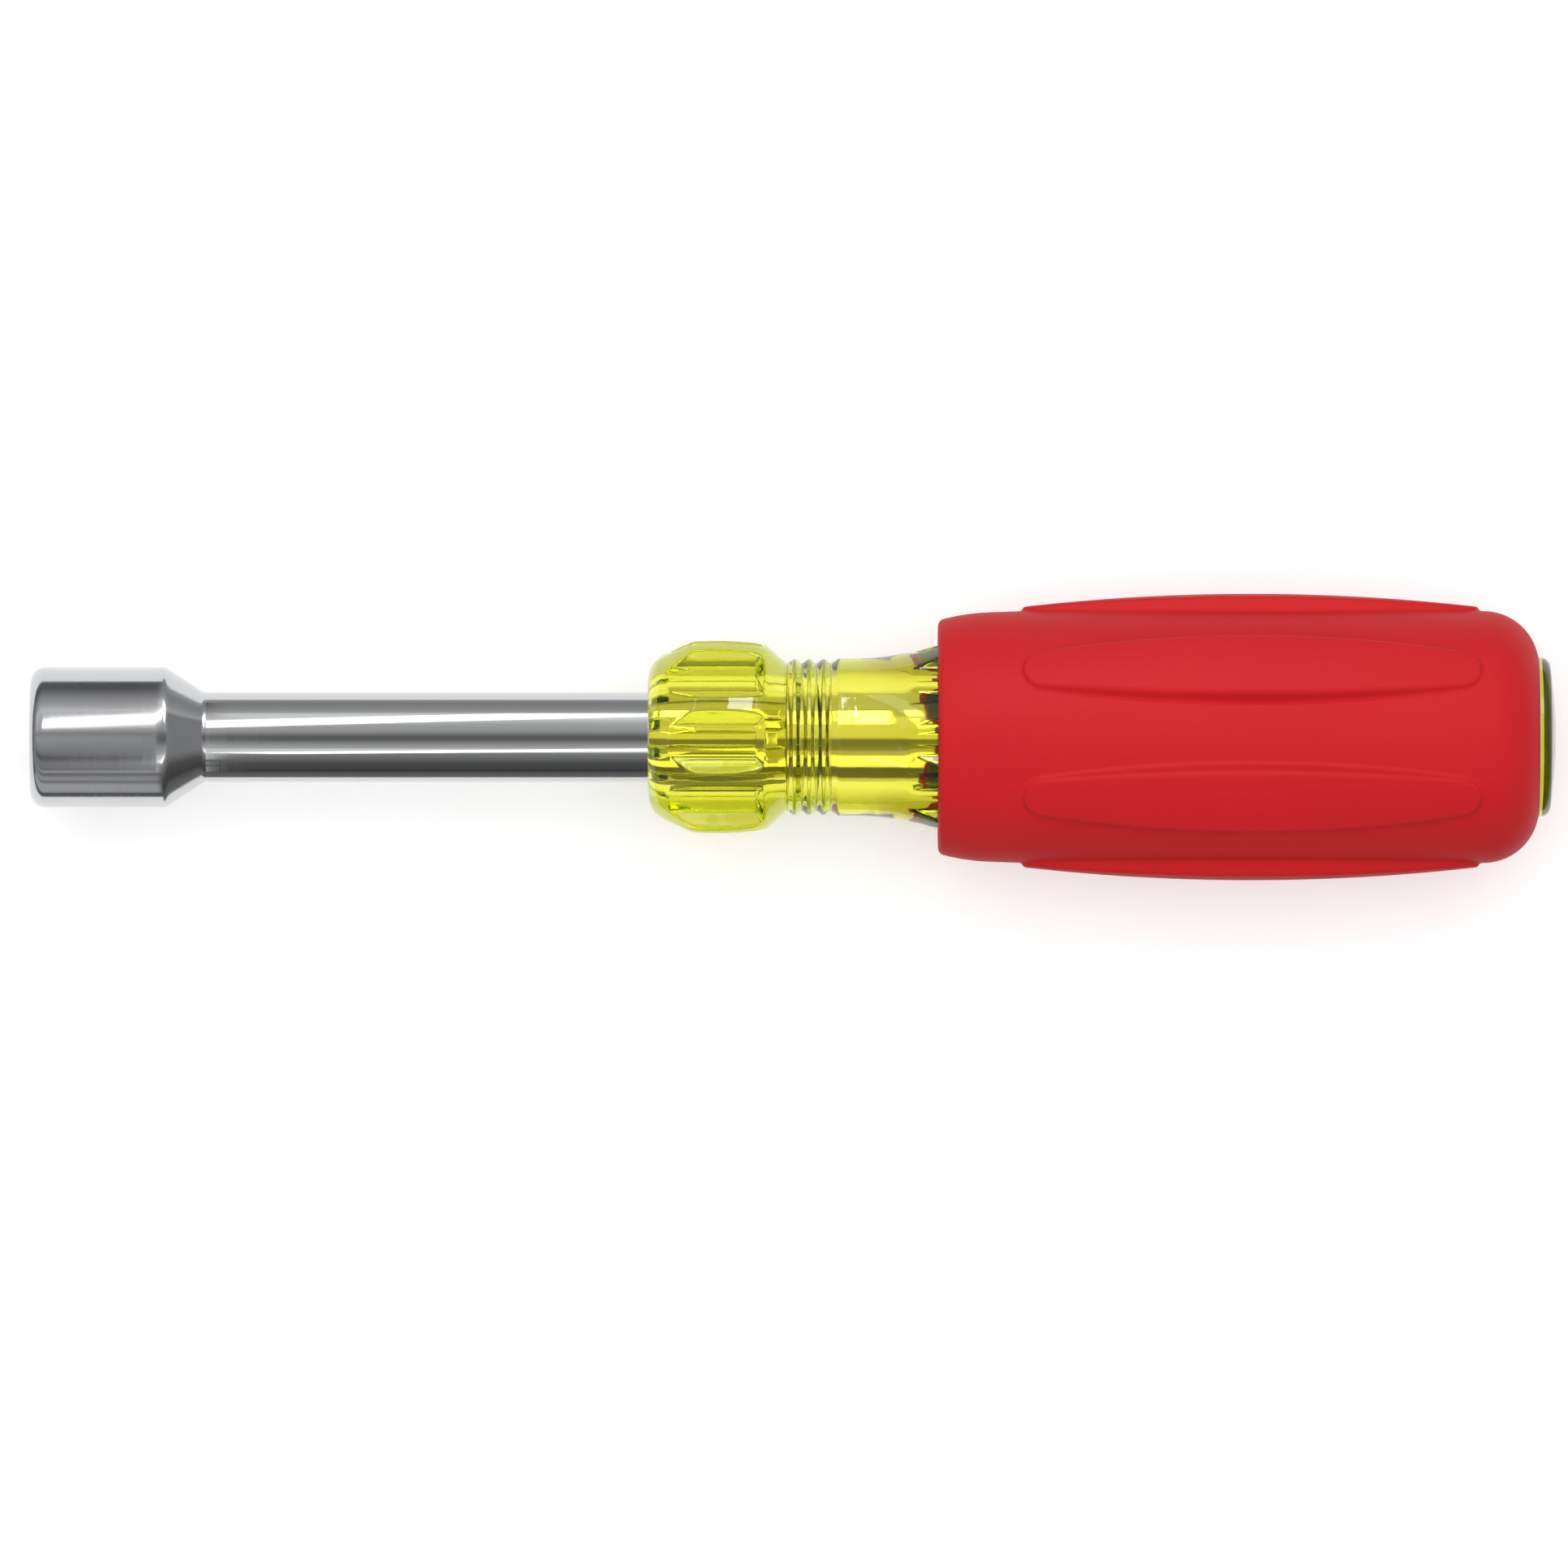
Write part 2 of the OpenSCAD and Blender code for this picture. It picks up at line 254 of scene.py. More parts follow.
def acetate():
    """Wet, glassy shine outside, and edges that gather light from the whole room."""
    material, tree = new_material("vapour_polished_clear_acetate")
    place_node = add_node(tree, "ShaderNodeTexCoord")
    waves = add_node(
        tree, "ShaderNodeTexNoise", {"Vector": place_node.outputs["Object"]},
        Scale=marks_every(2.857), Detail=2.0,
    )
    bump = add_node(
        tree, "ShaderNodeBump", {"Height": waves.outputs["Fac"]},
        Strength=1.0, Distance=20 * MICROMETRE,
    )
    shader = add_node(
        tree, "ShaderNodeBsdfPrincipled", {"Normal": bump.outputs["Normal"]},
        Base_Color=linear("FAF3AC"), Roughness=0.03, IOR=1.48, Transmission_Weight=1.0,
    )
    # red and green pass almost freely, blue doesn't
    volume = add_node(
        tree, "ShaderNodeVolumeAbsorption",
        Color=linear("F3F700"), Density=math.log(2) / (DYE_HALF * MILLIMETRE),
    )
    add_node(
        tree, "ShaderNodeOutputMaterial",
        {"Surface": shader.outputs["BSDF"], "Volume": volume.outputs["Volume"]},
    )
    return material


clear_acetate = acetate()
print("clear material:", clear_acetate.name)

# %% [markdown]
# ## Soft red vinyl
# The grip is moulded from plasticised vinyl. Its mould was lightly blasted, so the skin has a
# grain of about 0.2 mm, 0.01 mm deep. It shines only softly, and dust and handling make the
# red a little uneven. To model the grain would take millions of faces, so a bump stands for it.

# %% Vinyl material
def vinyl():
    """A deep even red with a wide, weak highlight along the top of each form."""
    material, tree = new_material("satin_red_soft_vinyl")
    place_node = add_node(tree, "ShaderNodeTexCoord")
    # blasted grain of the mould, 0.2 mm
    grain = add_node(
        tree, "ShaderNodeTexNoise", {"Vector": place_node.outputs["Object"]},
        Scale=marks_every(0.2), Detail=2.0,
    )
    # flow and handling, in clouds of about 12 mm
    cloud = add_node(
        tree, "ShaderNodeTexNoise", {"Vector": place_node.outputs["Object"]},
        Scale=marks_every(12.5), Detail=4.0,
    )
    colour = add_node(
        tree, "ShaderNodeMix", {"Factor": cloud.outputs["Fac"]}, {"data_type": "RGBA"},
        A=linear("CC1E22"), B=linear("D62225"),
    )
    rough = add_node(
        tree, "ShaderNodeMapRange", {"Value": cloud.outputs["Fac"]}, To_Min=0.48, To_Max=0.62
    )
    bump = add_node(
        tree, "ShaderNodeBump", {"Height": grain.outputs["Fac"]},
        Strength=1.0, Distance=10 * MICROMETRE,
    )
    # the specular level is low, because the fine grain swallows most of the shine
    shader = add_node(
        tree, "ShaderNodeBsdfPrincipled",
        {
            "Base Color": colour.outputs["Result"],
            "Roughness": rough.outputs["Result"],
            "Normal": bump.outputs["Normal"],
        },
        IOR=1.53, Specular_IOR_Level=0.12,
    )
    add_node(tree, "ShaderNodeOutputMaterial", {"Surface": shader.outputs["BSDF"]})
    return material


red_vinyl = vinyl()
print("soft material:", red_vinyl.name)

# %% [markdown]
# ## The film of cement inside the grip
# Through the clear flare the real tool shows dark green, not the red of the grip. So the wall
# of the grip's hole has a finish of its own, the thin hazy film that a contact cement leaves.
# It is pale, and it looks dark green because it lies in the grip's shadow and is only seen
# through the green core. It could be a thin sleeve of its own, but a second material on the
# faces of the hole looks the same and leaves the fit as it is.

# %% Cement material
def cement():
    """A pale, half dull film, brushed on."""
    material, tree = new_material("hazy_contact_cement")
    place_node = add_node(tree, "ShaderNodeTexCoord")
    # brush marks, about 1 mm apart
    brush = add_node(
        tree, "ShaderNodeTexNoise", {"Vector": place_node.outputs["Object"]},
        Scale=marks_every(1.0), Detail=2.0,
    )
    rough = add_node(
        tree, "ShaderNodeMapRange", {"Value": brush.outputs["Fac"]}, To_Min=0.3, To_Max=0.6
    )
    shader = add_node(
        tree, "ShaderNodeBsdfPrincipled", {"Roughness": rough.outputs["Result"]},
        Base_Color=linear("DCE0CC"), IOR=1.52,
    )
    add_node(tree, "ShaderNodeOutputMaterial", {"Surface": shader.outputs["BSDF"]})
    return material


pale_cement = cement()
print("film in the grip:", pale_cement.name)

# %% [markdown]
# ## The socket
# The socket is a turned piece: a straight body with a rounded nose, and a cone down to the
# tube. A punch then drives the hexagon in from the mouth. Here the outline goes once round the
# section, outside and inside, and is spun. A boolean could cut the hexagon, but it leaves
# slivers in the rounded nose, where its corners reach. So the hexagon starts as a round hole
# whose points are moved out to the six flats, and the front face is stretched between the hole
# and the nose after that. The small fillet between cone and tube is the braze that joins them.

# %% Measures of the socket
ROUND_STEPS = 192  # of each spin
SOCKET_R = 8.67
NOSE = 1.75
BODY_LEN = 16.73
SOCKET_LEN = 21.43
TUBE_R = 5.555
BORE_R = 4.2
SPIGOT_R = 4.95
SPIGOT_X = 14.43
BREAK = 0.12  # the broken edge where the socket meets the tube
HEX_FLAT = 6.4
HEX_DEPTH = 11.5
HEX_CORNER_ROUND = 0.12
MOUTH_R = 6.75  # of the chamfer that leads the nut in
CHAMFER = MOUTH_R - HEX_FLAT
HOLE_R = 6.5  # the round hole, before it becomes a hexagon
FLOOR_R = 5.4  # an extra ring of points on the floor of the hexagon
NOSE_FREE_R = 7.9  # outside of this radius the hexagon doesn't reach
FILLET, FILLET_END = 1.0, 269.0  # of the braze; a degree short, its rim just clears the tube
RIM_ROUND = 0.28
nose_mid = (NOSE, SOCKET_R - NOSE)
cone_slope = math.degrees(math.atan2(SOCKET_R - TUBE_R, SOCKET_LEN - BODY_LEN))
fillet_mid = (SOCKET_LEN + FILLET * math.tan(math.radians(cone_slope / 2)), TUBE_R + FILLET)
fillet_start = (
    fillet_mid[0] - FILLET * math.sin(math.radians(cone_slope)),
    fillet_mid[1] - FILLET * math.cos(math.radians(cone_slope)),
)


def hexagon(degrees):
    """Distance from the axis to the wall of the hexagon, with corners towards +Z and -Z."""
    sharp = HEX_FLAT / math.cos(math.radians(degrees % 60 - 30))
    corner = HEX_FLAT / math.cos(math.radians(30)) - HEX_CORNER_ROUND
    return min(sharp, corner)


def nose_x(radius):
    """Place of the rounded nose along the tool, at a distance from the axis."""
    out = max(0.0, radius - nose_mid[1])
    return NOSE - math.sqrt(NOSE * NOSE - out * out)


# %% Spin the socket and open its hexagon
free_angle = 180 - math.degrees(math.asin((NOSE_FREE_R - nose_mid[1]) / NOSE))
socket_outline = (
    [(0.0, HOLE_R + (NOSE_FREE_R - HOLE_R) * i / 5) for i in range(5)]
    + arc(nose_mid, NOSE, free_angle, 90, 18)
    + straight((NOSE, SOCKET_R), (BODY_LEN, SOCKET_R), 12)
    + straight((BODY_LEN, SOCKET_R), fillet_start, 6)
    + arc(fillet_mid, FILLET, 270 - cone_slope, FILLET_END, 6)
    + [(SOCKET_LEN, TUBE_R - BREAK), (SOCKET_LEN, SPIGOT_R), (SPIGOT_X, SPIGOT_R)]
    + [(SPIGOT_X, BORE_R), (HEX_DEPTH, BORE_R), (HEX_DEPTH, FLOOR_R), (HEX_DEPTH, HOLE_R)]
    + straight((HEX_DEPTH, HOLE_R), (CHAMFER, HOLE_R), 8)
)
socket_bm = turned(socket_outline, ROUND_STEPS)
for vert in socket_bm.verts:
    radius, angle = around_axis(vert)
    if vert.co.x < CLOSE and radius < NOSE_FREE_R - CLOSE:
        share = (radius - HOLE_R) / (NOSE_FREE_R - HOLE_R)
        edge_r = max(hexagon(angle), MOUTH_R)
        radius = edge_r + (NOSE_FREE_R - edge_r) * share
        place(vert, nose_x(radius), radius, angle)
    elif abs(radius - HOLE_R) < CLOSE:
        place(vert, vert.co.x, max(hexagon(angle), MOUTH_R - vert.co.x), angle)
# the polished edge between the body and the cone
rim = [
    edge for edge in socket_bm.edges
    if all(
        abs(v.co.x - BODY_LEN) < CLOSE and around_axis(v)[0] > SOCKET_R - CLOSE for v in edge.verts
    )
]
print("the rim has", len(rim), "edges")
bmesh.ops.bevel(
    socket_bm, geom=rim, offset=RIM_ROUND, offset_type="OFFSET", segments=4, profile=0.5,
    affect="EDGES", material=-1,
)
finished(
    socket_bm, "turned_socket", "hex_socket", socket_chrome,
    sharp_from=22.0,
)

# %% [markdown]
# ## The tube
# A long stud has to pass into the tool, so the shaft is a tube, open from the socket to deep
# inside the handle. Its front end is turned down to fit the socket. Four wings near its held
# end stop it from turning in the plastic. They are small cubes, stretched and laid round the
# tube, with their roots in its wall.

# %% Spin the tube and add its wings
TUBE_END = 139.7
WINGS, WING_X = 4, 113.7
WING_LEN, WING_WIDE, WING_RISE, WING_ROOT = 12.0, 1.6, 1.4, 1.0

tube_outline = (
    [(SPIGOT_X, BORE_R), (SPIGOT_X, SPIGOT_R), (SOCKET_LEN, SPIGOT_R)]
    + [(SOCKET_LEN, TUBE_R - BREAK), (SOCKET_LEN + BREAK, TUBE_R)]
    + straight((SOCKET_LEN + BREAK, TUBE_R), (TUBE_END, TUBE_R), 30)
    + straight((TUBE_END, TUBE_R), (TUBE_END, BORE_R), 1)
)
tube_bm = turned(tube_outline, ROUND_STEPS)
for wing in range(WINGS):
    made = bmesh.ops.create_cube(tube_bm, size=1.0)["verts"]
    bmesh.ops.scale(tube_bm, vec=(WING_LEN, WING_WIDE, WING_ROOT + WING_RISE), verts=made)
    rise = TUBE_R + (WING_RISE - WING_ROOT) / 2
    bmesh.ops.translate(tube_bm, vec=(WING_X + WING_LEN / 2, 0.0, rise), verts=made)
    turn = Matrix.Rotation(math.tau * wing / WINGS, 3, "X")
    bmesh.ops.rotate(tube_bm, cent=ORIGIN, matrix=turn, verts=made)
finished(tube_bm, "drawn_tube", "hollow_shaft", tube_chrome)

# %% [markdown]
# ## The clear core
# The core starts as a round bar with eight flutes. A lathe then turns the knob, three rings
# and a neck, which cut the flutes away where they go deeper than them: the flutes show as
# windows in the knob and come back in the flare. Booleans could cut them as the real cutter
# does, but clear plastic shows every ragged face that they leave. So the turned outline is spun
# first, and each point is then pulled in to the flutes where they lie deeper. Before that it is
# moved a little round the axis, so that a row of points lies along each edge of a flute. The
# lower of two surfaces is taken with a small rounding, as the vapour polish leaves it.

# %% Measures of the core
FACE_X, REAR_X = 76.2, 188.3
BAR_R, NECK_R, GROOVE_R, STUB_R, FACE_R = 12.35, 9.72, 9.1, 9.82, 7.1
FRONT_SLOPE, BACK_SLOPE = 30.0, 42.0
CROWN, KNOB_TOP, KNOB_BACK = 34.0, 8.4, 13.1
CORNER, SHOULDER, BACK_ROUND = 3.4, 2.5, 3.3
RING_PITCH, RING_RISE, RING_CREST, GROOVE_ROUND, RINGS = 1.8, 0.55, 0.5, 0.25, 3
NECK_LEN, FLARE = 2.2, 28.0
STUB_ROUND, DOME_RISE = 1.2, 0.68
SEAT_R = 5.6  # a thin film of air is left round the tube, as in the drilled hole of a real core
DRILL_POINT = 59.0  # degrees between the drill's point and its axis
BARE_LEN, STUB_BARE, REAR_WALL = 35.8, 0.22, 5.2  # bare core before and behind the grip, its wall
GRIP_X = FACE_X + BARE_LEN
STUB_EDGE_X = REAR_X - DOME_RISE - STUB_ROUND
GRIP_END = STUB_EDGE_X - STUB_BARE
BAR_END = GRIP_END - REAR_WALL


# %% Where the arcs of the core meet
def tangent_mid(point, slope, radius, outer_mid, outer_radius):
    """Middle of a circle that touches a sloping line and an outer circle from inside."""
    along = Vector((math.cos(math.radians(slope)), math.sin(math.radians(slope))))
    start = Vector(point) + radius * Vector((along.y, -along.x)) - Vector(outer_mid)
    back, reach = start.dot(along), outer_radius - radius
    step = math.sqrt(back * back - start.dot(start) + reach * reach) - back
    return tuple(Vector(outer_mid) + start + step * along)


corner_mid = (FACE_X + CORNER, FACE_R)
corner_end = on_circle(corner_mid, CORNER, 90 + FRONT_SLOPE)
crown_mid = (FACE_X + KNOB_TOP, BAR_R - CROWN)
shoulder_mid = tangent_mid(corner_end, FRONT_SLOPE, SHOULDER, crown_mid, CROWN)
shoulder_angle = direction(crown_mid, shoulder_mid)
crown_angle = 90 - math.degrees(math.asin((KNOB_BACK - KNOB_TOP) / CROWN))
back_mid = on_circle(crown_mid, CROWN - BACK_ROUND, crown_angle)
back_end = on_circle(back_mid, BACK_ROUND, 90 - BACK_SLOPE)
groove_x = back_end[0] + (back_end[1] - GROOVE_R) / math.tan(math.radians(BACK_SLOPE))
neck_x = groove_x + RINGS * RING_PITCH + RING_PITCH / 2
flare_x = neck_x + NECK_LEN
flare_angle = math.degrees(math.acos(1 - (BAR_R - NECK_R) / FLARE))
ring_low = (RING_PITCH / 2, RING_RISE - RING_CREST)
ring_flank = direction((0.0, 0.0), ring_low)
ring_flank += math.degrees(math.asin(RING_CREST / math.hypot(*ring_low)))
dome_edge = STUB_R - STUB_ROUND
dome_round = (dome_edge**2 + DOME_RISE**2) / (2 * DOME_RISE)
dome_half = math.degrees(math.asin(dome_edge / dome_round))
flare_end = on_circle((flare_x, NECK_R + FLARE), FLARE, flare_angle - 90)
print("rings from", round(groove_x, 2), "and neck from", round(neck_x, 2))
print("flare from", round(flare_x, 2), "to", round(flare_end[0], 2))

# %% Outline of the core
corner_arc = arc(corner_mid, CORNER, 180, 90 + FRONT_SLOPE, 20)
shoulder_arc = arc(shoulder_mid, SHOULDER, 90 + FRONT_SLOPE, shoulder_angle, 10)
core_outline = [(FACE_X, SEAT_R)] + straight((FACE_X, SEAT_R), corner_arc[0], 3)[:-1]
core_outline += corner_arc + straight(corner_end, shoulder_arc[0], 12)[:-1] + shoulder_arc
core_outline += arc(crown_mid, CROWN, shoulder_angle, crown_angle, 44)[1:]
core_outline += arc(back_mid, BACK_ROUND, crown_angle, 90 - BACK_SLOPE, 12)[1:]


def groove(number):
    """Rounded bottom of a groove; the first groove is number 0."""
    rise = GROOVE_ROUND / math.cos(math.radians(ring_flank))
    mid = (groove_x + number * RING_PITCH, GROOVE_R + rise)
    return arc(mid, GROOVE_ROUND, -90 - ring_flank, ring_flank - 90, 6)


core_outline += straight(back_end, groove(0)[0], 22)[:-1]
for ring in range(RINGS):
    ring_mid = (groove_x + (ring + 0.5) * RING_PITCH, GROOVE_R + ring_low[1])
    crest = arc(ring_mid, RING_CREST, 90 + ring_flank, 90 - ring_flank, 8)
    core_outline += groove(ring) + straight(groove(ring)[-1], crest[0], 2)[:-1] + crest
    core_outline += straight(crest[-1], groove(ring + 1)[0], 2)[:-1]
core_outline += groove(RINGS)
core_outline += straight(core_outline[-1], (neck_x, NECK_R), 4)
core_outline += straight((neck_x, NECK_R), (flare_x, NECK_R), 6)[:-1]
core_outline += arc((flare_x, NECK_R + FLARE), FLARE, -90, flare_angle - 90, 64)
core_outline += straight(flare_end, (BAR_END, BAR_R), 8)
core_outline += straight((BAR_END, BAR_R), (BAR_END, STUB_R), 3)
core_outline += straight((BAR_END, STUB_R), (STUB_EDGE_X, STUB_R), 8)[:-1]
core_outline += arc((STUB_EDGE_X, dome_edge), STUB_ROUND, 90, 0, 12)
core_outline += arc((REAR_X - dome_round, 0.0), dome_round, dome_half, 0, 12)[1:]
drill_end = TUBE_END + TUBE_R / math.tan(math.radians(DRILL_POINT))
seat_outline = [(drill_end, 0.0), (TUBE_END, SEAT_R)]
seat_outline += straight((TUBE_END, SEAT_R), (FACE_X, SEAT_R), 10)[:-1]
print("the core's outline has", len(core_outline), "points")

# %% The flutes, as a distance from the axis
FLUTES, FLUTE_TURN = 8, -3.0
# a flat floor, half its width, and how far the wall on each side leans, in degrees
FLUTE_FLOOR, FLUTE_HALF, WALL_SLOPE = 10.45, 1.9, 56.0
RUN_OUT = 13.4  # from the front face, where the cutter starts to leave the knob
SOFT_EDGE, SOFT_FLOOR = 0.22, 0.15
SECTOR = 360 / FLUTES
wall = math.tan(math.radians(WALL_SLOPE))


def lower(a, b, soft):
    """The smaller of two values, rounded where they are close."""
    near = max(soft - abs(a - b), 0.0) / soft
    return min(a, b) - near * near * soft / 4


def flute(x, off):
    """Distance from the axis to a flute's surface, at an angle off the flute's middle."""
    turn = math.radians(off)
    floor_r = FLUTE_FLOOR / math.cos(turn)
    wall_r = (FLUTE_FLOOR * wall - FLUTE_HALF) / (wall * math.cos(turn) - math.sin(turn))
    surface = -lower(-floor_r, -wall_r, SOFT_FLOOR)
    if FACE_X + RUN_OUT < x < neck_x:
        surface = max(surface, (FLUTE_FLOOR + x - FACE_X - RUN_OUT) / math.cos(turn))
    return surface


def edge_angle(x, radius):
    """Angle off a flute's middle where its wall meets a turned surface."""
    near, far = 0.0, SECTOR / 2
    for _ in range(24):  # each round halves the angle that is left
        middle = (near + far) / 2
        near, far = (middle, far) if flute(x, middle) < radius else (near, middle)
    return near


# %% Pull points in to the flutes
FLUTED_R = 6.0  # points nearer to the axis belong to the drilled hole and stay
LEAST_EDGE = 4.0  # degrees, where a turned surface lies below the flutes and no edge is left
FLOOR_KEEP = 0.85  # the floor's points stay inside of this share of the edge's angle
FLUTED_STEPS = 256  # of each spin, 16 from a flute's middle to the middle of the ridge
FLOOR_SHARE, EDGE_SHARE = 6 / 16, 12 / 16  # of these 16, on the floor and up to the edge


def spread(share, low, high):
    """A share of the way from low to high, slow at both ends, so that points gather there."""
    return low + (high - low) * (1 - math.cos(math.pi * share)) / 2


def fluted(bm, gap):
    """Pulls the points of a spun outline in to the flutes, gap away from them."""
    bmesh.ops.rotate(
        bm, cent=ORIGIN, matrix=Matrix.Rotation(math.radians(-FLUTE_TURN), 3, "X"), verts=bm.verts
    )
    corner = math.degrees(math.atan(FLUTE_HALF / FLUTE_FLOOR))
    edges = {}
    for vert in bm.verts:
        radius, angle = around_axis(vert)
        x = vert.co.x
        if radius - gap < FLUTED_R or x > BAR_END + CLOSE:
            continue
        key = (round(x, 5), round(radius, 5))
        if key not in edges:
            edges[key] = max(LEAST_EDGE, edge_angle(x, radius - gap))
        edge = edges[key]
        steps = (angle - FLUTE_TURN) / SECTOR
        off = (steps - round(steps)) * SECTOR
        share, side = abs(off) / (SECTOR / 2), math.copysign(1.0, off)
        bottom = min(corner, FLOOR_KEEP * edge)
        if share < FLOOR_SHARE:
            off = bottom * share / FLOOR_SHARE
        elif share < EDGE_SHARE:
            off = spread((share - FLOOR_SHARE) / (EDGE_SHARE - FLOOR_SHARE), bottom, edge)
        else:
            # the ridge runs on to the next flute's edge, and only its first half is here
            off = spread((share - EDGE_SHARE) / (2 - 2 * EDGE_SHARE), edge, SECTOR - edge)
        radius = lower(radius, flute(x, off) + gap, SOFT_EDGE)
        place(vert, x, radius, FLUTE_TURN + round(steps) * SECTOR + side * off)


# %% Spin the core and pull in its flutes
core_bm = turned(core_outline + seat_outline, FLUTED_STEPS)
fluted(core_bm, gap=0.0)
finished(
    core_bm, "clear_fluted_core", "handle_core", clear_acetate, sharp_from=40.0
)

# %% [markdown]
# ## The grip
# The grip is a soft sleeve whose inside has ribs that lie in the bar's flutes, so that it can't
# turn on the core. Its outside is a long barrel, drawn in at the front and rounded at the rear,
# and closed there round the stub. Its wall isn't even, so it isn't a thickened surface. It is
# one outline, spun, and its inside is pulled in by the same helper as the core, a little
# further out, because the two pieces don't fuse.

# %% Spin the sleeve
GRIP_R, BARREL, BARREL_TOP = 16.03, 850.0, 39.0
SWEEP, SWEEP_LEN, FRONT_ROUND, REAR_ROUND = 26.0, 6.2, 0.95, 6.8
GRIP_GAP = 0.08
hole_r, bore_r = STUB_R + GRIP_GAP, BAR_R + GRIP_GAP


def circle_inside(outer_mid, outer_radius, x, radius):
    """Middle of a circle at x that touches an outer circle on its inside."""
    reach = outer_radius - radius
    return (x, outer_mid[1] + math.sqrt(reach**2 - (x - outer_mid[0]) ** 2))


barrel_mid = (GRIP_X + BARREL_TOP, GRIP_R - BARREL)
sweep_angle = 90 + math.degrees(math.asin((BARREL_TOP - SWEEP_LEN) / BARREL))
sweep_mid = on_circle(barrel_mid, BARREL - SWEEP, sweep_angle)
front_mid = circle_inside(sweep_mid, SWEEP, GRIP_X + FRONT_ROUND, FRONT_ROUND)
rear_mid = circle_inside(barrel_mid, BARREL, GRIP_END - REAR_ROUND, REAR_ROUND)
front_angle, rear_angle = direction(sweep_mid, front_mid), direction(barrel_mid, rear_mid)


def flare_r(x):
    """Distance from the axis to the core's flare, and to its bar behind it."""
    if x >= flare_end[0]:
        return BAR_R
    return NECK_R + FLARE - math.sqrt(FLARE**2 - (x - flare_x) ** 2)


sleeve_outline = arc(front_mid, FRONT_ROUND, 180, front_angle, 10)
sleeve_outline += arc(sweep_mid, SWEEP, front_angle, sweep_angle, 20)[1:]
sleeve_outline += arc(barrel_mid, BARREL, sweep_angle, rear_angle, 60)[1:]
sleeve_outline += arc(rear_mid, REAR_ROUND, rear_angle, 0, 24)[1:]
sleeve_outline += [(GRIP_END, hole_r), (BAR_END, hole_r), (BAR_END, bore_r)]
sleeve_outline += straight((BAR_END, bore_r), (flare_end[0], bore_r), 12)
sleeve_outline += [
    (x, flare_r(x) + GRIP_GAP)
    for x in (flare_end[0] + (GRIP_X - flare_end[0]) * i / 8 for i in range(1, 9))
]

# %% The film of cement, and the ribs inside
grip_bm = turned(sleeve_outline, FLUTED_STEPS)
outside = [
    v for v in grip_bm.verts
    if around_axis(v)[0] > bore_r + GRIP_GAP or v.co.x > BAR_END + CLOSE
]
print("the sleeve has", len(grip_bm.verts), "points,", len(outside), "of them outside")
kept = {v: v.co.copy() for v in outside}
for face in grip_bm.faces:
    most_r, most_x = max(around_axis(v)[0] for v in face.verts), max(v.co.x for v in face.verts)
    in_hole = most_r < hole_r + CLOSE
    in_bore = most_r < bore_r + CLOSE and most_x < BAR_END + CLOSE
    face.material_index = 1 if in_hole or in_bore else 0
fluted(grip_bm, gap=GRIP_GAP)
for vert, where in kept.items():
    vert.co = where

# %% [markdown]
# ## The pads of the grip
# Six raised pads give the hand a hold. Each is long and narrow with round ends, highest in its
# middle, and its walls lean out a little so that it leaves the mould. A bevelled block would
# pinch at the round ends. So a pad starts as a flat grid whose rows are drawn in to the pad's
# outline. Its rim is then extruded in small steps: over the rounded edge, down the leaning
# wall, out in a small fillet and into the sleeve.

# %% Measures of a pad
PADS, PAD_TURN = 6, 1.8
PAD_X, PAD_HALF_LEN, PAD_WIDE = GRIP_X + 38.6, 28.1, 8.7
PAD_SIDE, PAD_RISE, PAD_CROWN = 185.0, 1.66, 246.0
PAD_EDGE, EDGE_FALL = 0.6, 0.42  # the rounded edge, and its share of the height
ACROSS, ALONG, END_ROWS = 12, 60, 12  # rows of points
side_mid = PAD_SIDE - PAD_WIDE / 2
# radius of the round end, which touches both sides of the outline
pad_tip = (PAD_SIDE**2 - PAD_HALF_LEN**2 - side_mid**2) / (2 * (PAD_SIDE - PAD_HALF_LEN))
tip_x = PAD_HALF_LEN - pad_tip
touch_share = tip_x / math.hypot(tip_x, side_mid)
print("round end of a pad:", round(pad_tip, 3), "at", round(tip_x, 3))


def pad_half(x, inset):
    """Half the width of the pad's outline, drawn in by inset, at a place along it."""
    if abs(x) <= (PAD_SIDE - inset) * touch_share:
        return math.sqrt((PAD_SIDE - inset) ** 2 - x * x) - side_mid
    return math.sqrt(max((pad_tip - inset) ** 2 - (abs(x) - tip_x) ** 2, 0.0))


def pad_out(x, y, inset):
    """Direction straight out of the outline, seen from above the pad."""
    if abs(x) <= (PAD_SIDE - inset) * touch_share:
        return Vector((x, y + math.copysign(side_mid, y))).normalized()
    return Vector((x - math.copysign(tip_x, x), y)).normalized()


def barrel_r(x):
    """Distance from the axis to the sleeve's barrel."""
    return barrel_mid[1] + math.sqrt(BARREL**2 - (x - barrel_mid[0]) ** 2)


def pad_height(x):
    """Height of the pad's crown above the sleeve, at a place along the pad."""
    crown = GRIP_R + PAD_RISE - PAD_CROWN + math.sqrt(PAD_CROWN**2 - x * x)
    return crown - barrel_r(PAD_X + x)


# steps of the rim: how far out, in millimetres, and how far down, as a share of the height
RIM = [
    (PAD_EDGE * math.sin(turn), EDGE_FALL * (1 - math.cos(turn)))
    for turn in map(math.radians, (18, 36, 54, 70))
]
RIM += [(0.62, EDGE_FALL), (0.69, 0.62), (0.77, 0.80)]
RIM += [(0.87, 0.90), (1.0, 0.97), (1.2, 1.02), (1.2, 1.6)]


